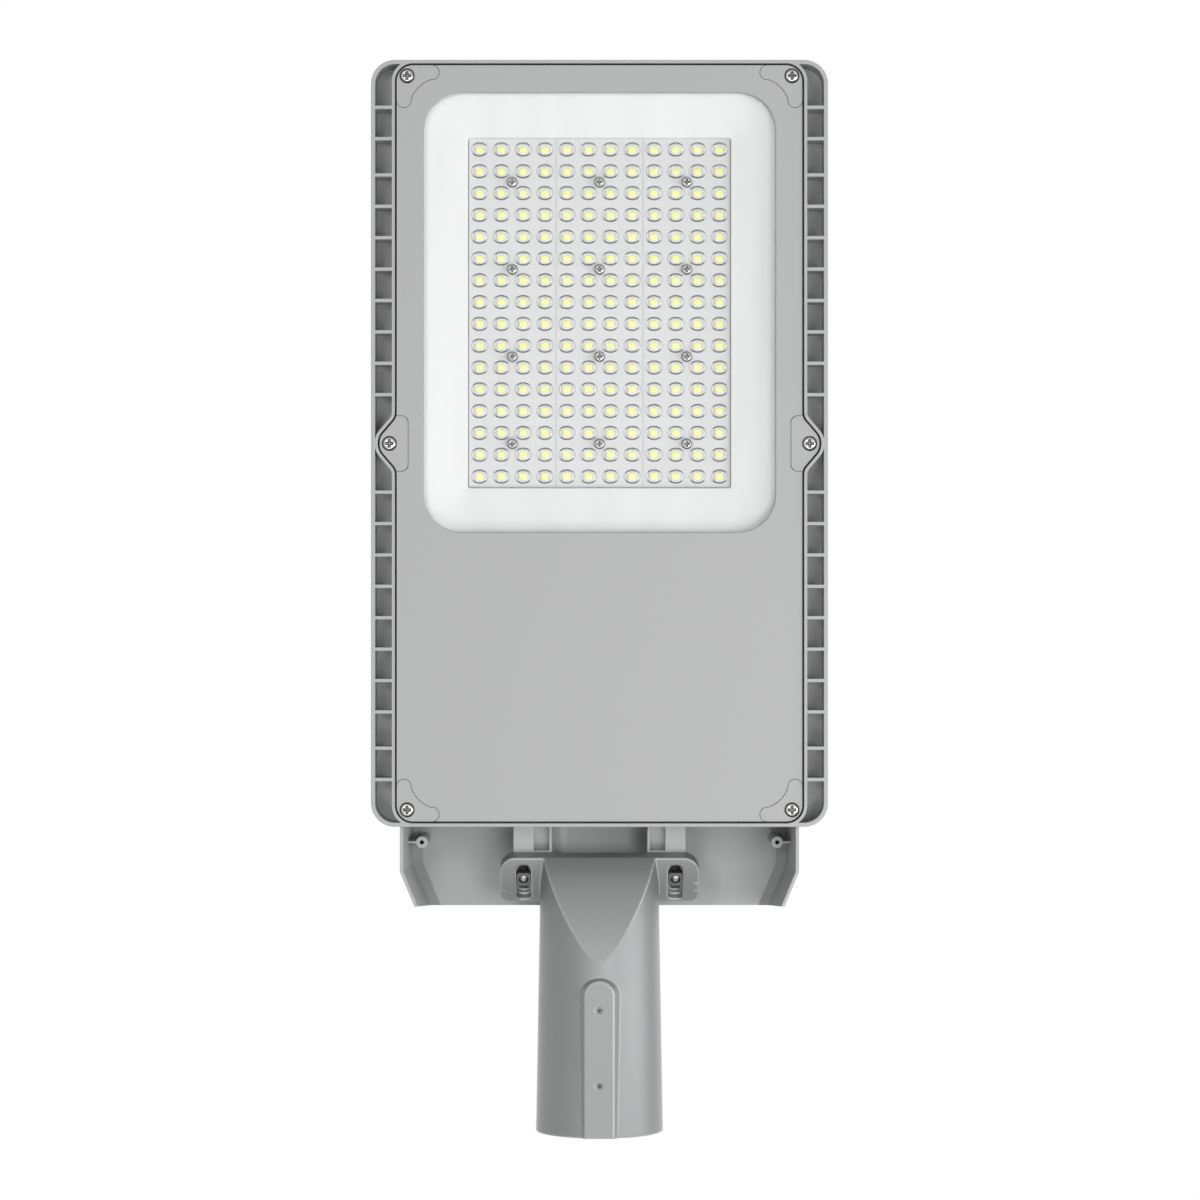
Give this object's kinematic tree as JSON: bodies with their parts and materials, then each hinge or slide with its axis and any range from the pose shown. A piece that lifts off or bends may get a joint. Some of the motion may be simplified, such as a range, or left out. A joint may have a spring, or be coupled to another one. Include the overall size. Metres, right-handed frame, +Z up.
{
  "type": "led street light head",
  "caption": "Street light head for the end of a pole: flat die-cast housing with a glass-covered LED array below, a rear shroud, and a tilting spigot adapter with set screws.",
  "frame": {"origin": "centre of the spigot bore's mouth, where the pole enters", "axes": "+Y from the mouth along the bore towards the lamp's front, +Z up, the light faces -Z"},
  "size_m": [0.2708, 0.6394, 0.084],
  "materials": {
    "housing_paint": "fine-textured grey powder coat",
    "cover_paint": "smooth grey powder coat",
    "steel": "stainless, satin",
    "glass": "clear toughened, polished",
    "white_frame": "matt white",
    "lens": "clear moulded, polished",
    "board": "white solder mask",
    "emitter": "yellow phosphor in a white package",
    "seal": "black silicone",
    "driver_case": "light grey, matt",
    "terminal_plastic": "off-white, matt",
    "black_plastic": "black nylon",
    "cable_jacket": "black, matt"
  },
  "bodies": {
    "adapter": {"spigot_adapter": "housing_paint", "set_screw_upper": "steel", "set_screw_lower": "steel"},
    "head": {"housing": "housing_paint", "cover_plate": "cover_paint", "corner_clamp_rear_left": "cover_paint", "corner_clamp_rear_right": "cover_paint", "corner_clamp_front_left": "cover_paint", "corner_clamp_front_right": "cover_paint", "side_clamp_left": "cover_paint", "side_clamp_right": "cover_paint", "cover_screws": "steel", "lens_screws": "steel", "driver_screws": "steel", "earth_screw": "steel", "tilt_bolt_left": "steel", "tilt_bolt_right": "steel", "tilt_washer_left": "steel", "tilt_washer_right": "steel", "tilt_nut_left": "steel", "tilt_nut_right": "steel", "cover_gasket": "seal", "glass_gasket": "seal", "window_glass": "glass", "reflector_frame": "white_frame", "led_board_left": "board", "led_board_middle": "board", "led_board_right": "board", "leds_left": "emitter", "leds_middle": "emitter", "leds_right": "emitter", "lens_plate_left": "lens", "lens_plate_middle": "lens", "lens_plate_right": "lens", "driver": "driver_case", "surge_protector": "black_plastic", "terminal_block": "terminal_plastic", "cable_gland": "black_plastic", "input_lead": "cable_jacket", "led_leads": "cable_jacket"}
  },
  "joints": [
    {"name": "head_tilt", "type": "hinge", "parent": "adapter", "child": "head", "pos_m": [0, 0.1834, 0.04], "axis": [1, 0, 0], "range_deg": [-10, 5]}
  ]
}
